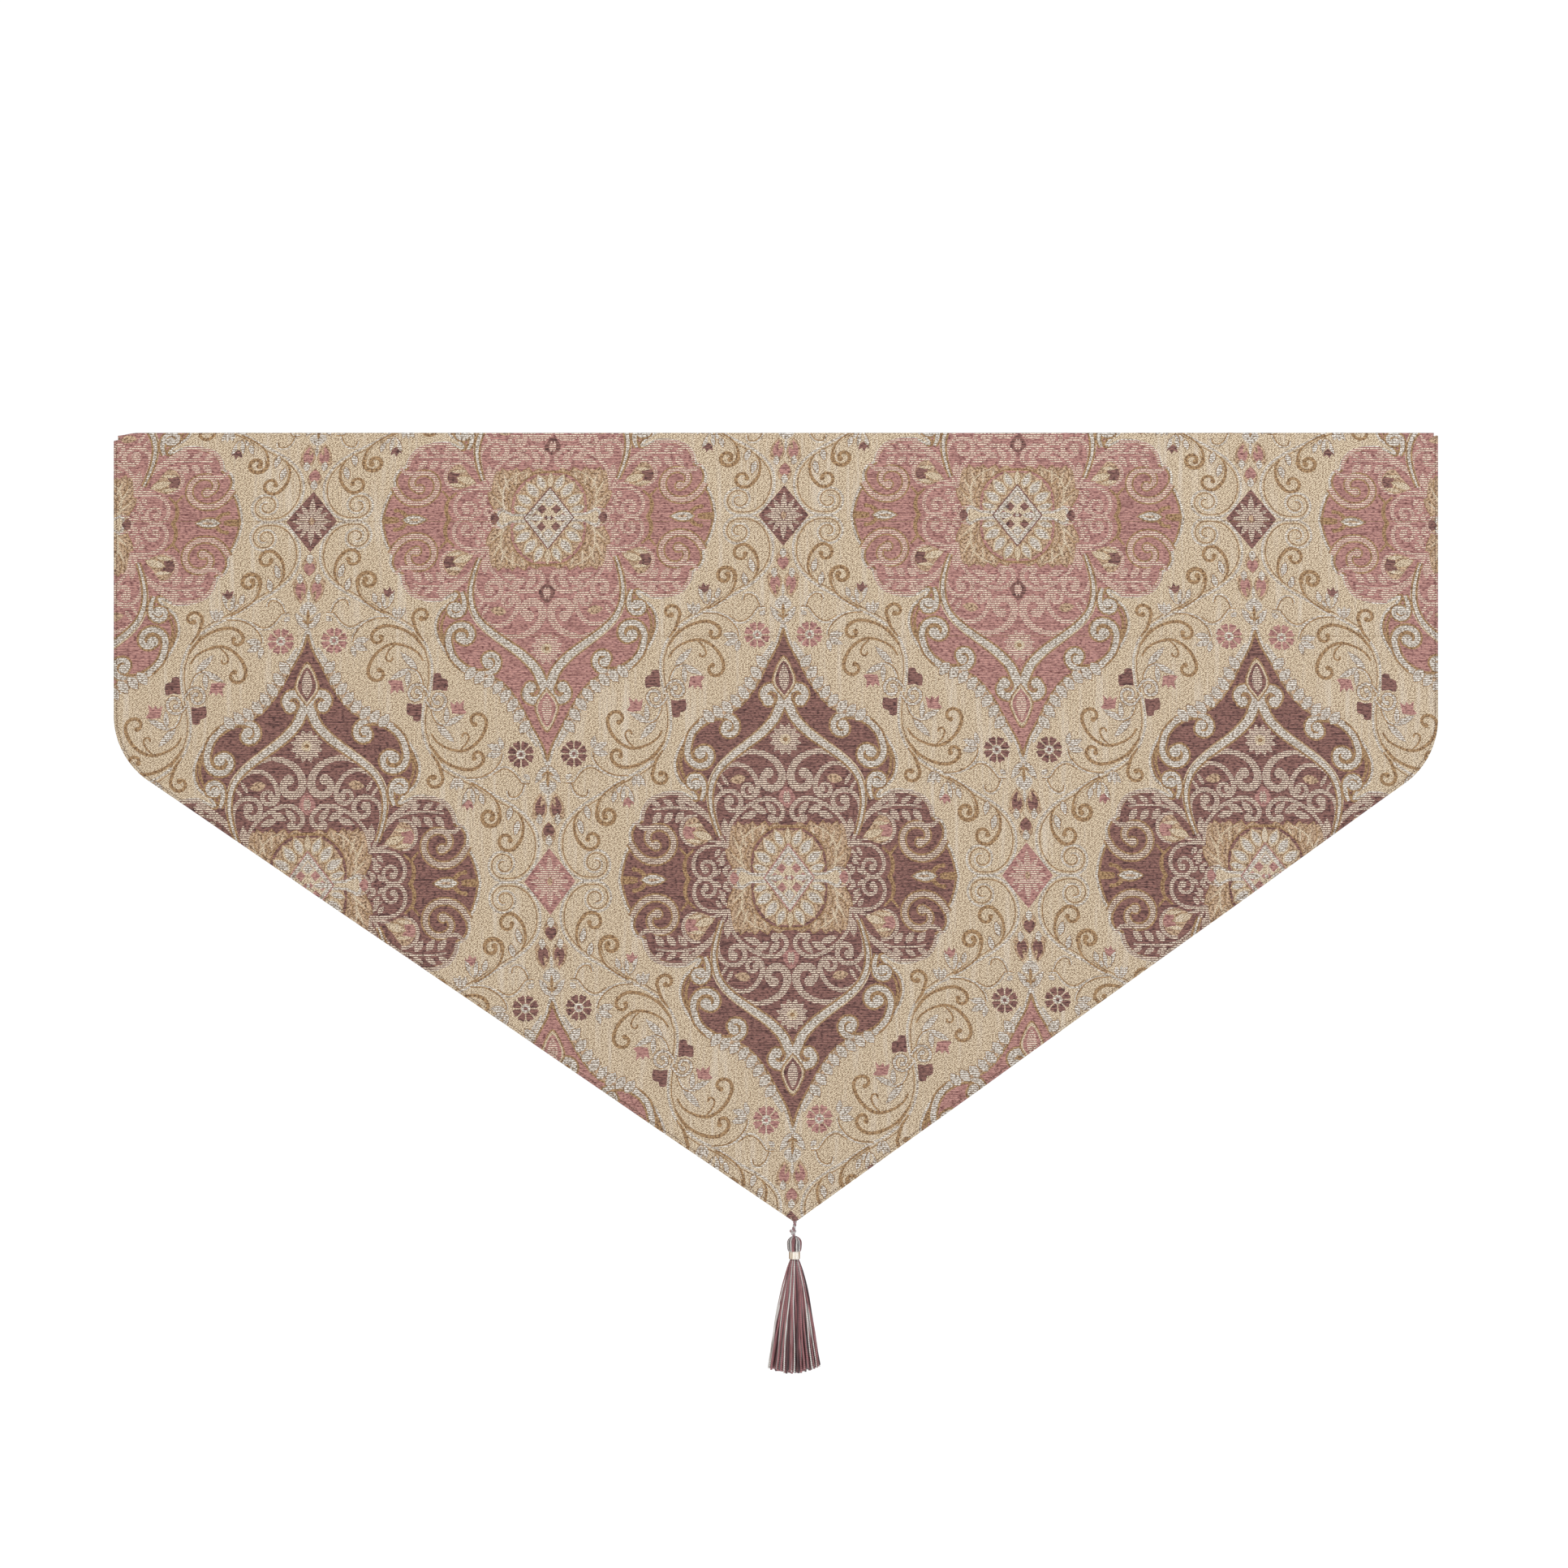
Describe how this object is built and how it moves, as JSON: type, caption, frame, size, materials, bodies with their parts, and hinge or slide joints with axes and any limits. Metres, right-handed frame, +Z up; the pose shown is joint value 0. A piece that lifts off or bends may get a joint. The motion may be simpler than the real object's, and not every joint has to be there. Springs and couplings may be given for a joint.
{
  "type": "ascot valance",
  "caption": "Pointed window valance of patterned brocade with a rod pocket sewn across its back, rounded lower corners and a tassel hanging from its tip",
  "frame": {"origin": "the middle of the top edge, on the face layer's middle surface", "axes": "+X runs to the viewer's right along the top edge, the valance's longest extent; +Z is up, so the cloth hangs from z = 0 down to the tip and the tassel; the patterned face looks along -Y, and the rod pocket is on the +Y side"},
  "size_m": [1.295, 0.0328, 0.92],
  "materials": {
    "cloth": "jacquard brocade, a cream twill ground with raised rose, burgundy, tan and silver figures",
    "cord": "two-ply twisted rayon cord, grey and rose",
    "yarn": "twisted rayon yarn in dusty rose, burgundy, grey and silver white",
    "wrapping": "cream satin thread wound in close turns"
  },
  "bodies": {
    "root": {"valance_cloth": "cloth", "tassel_cord": "cord", "tassel": "yarn", "tassel_collar": "wrapping"}
  },
  "joints": []
}
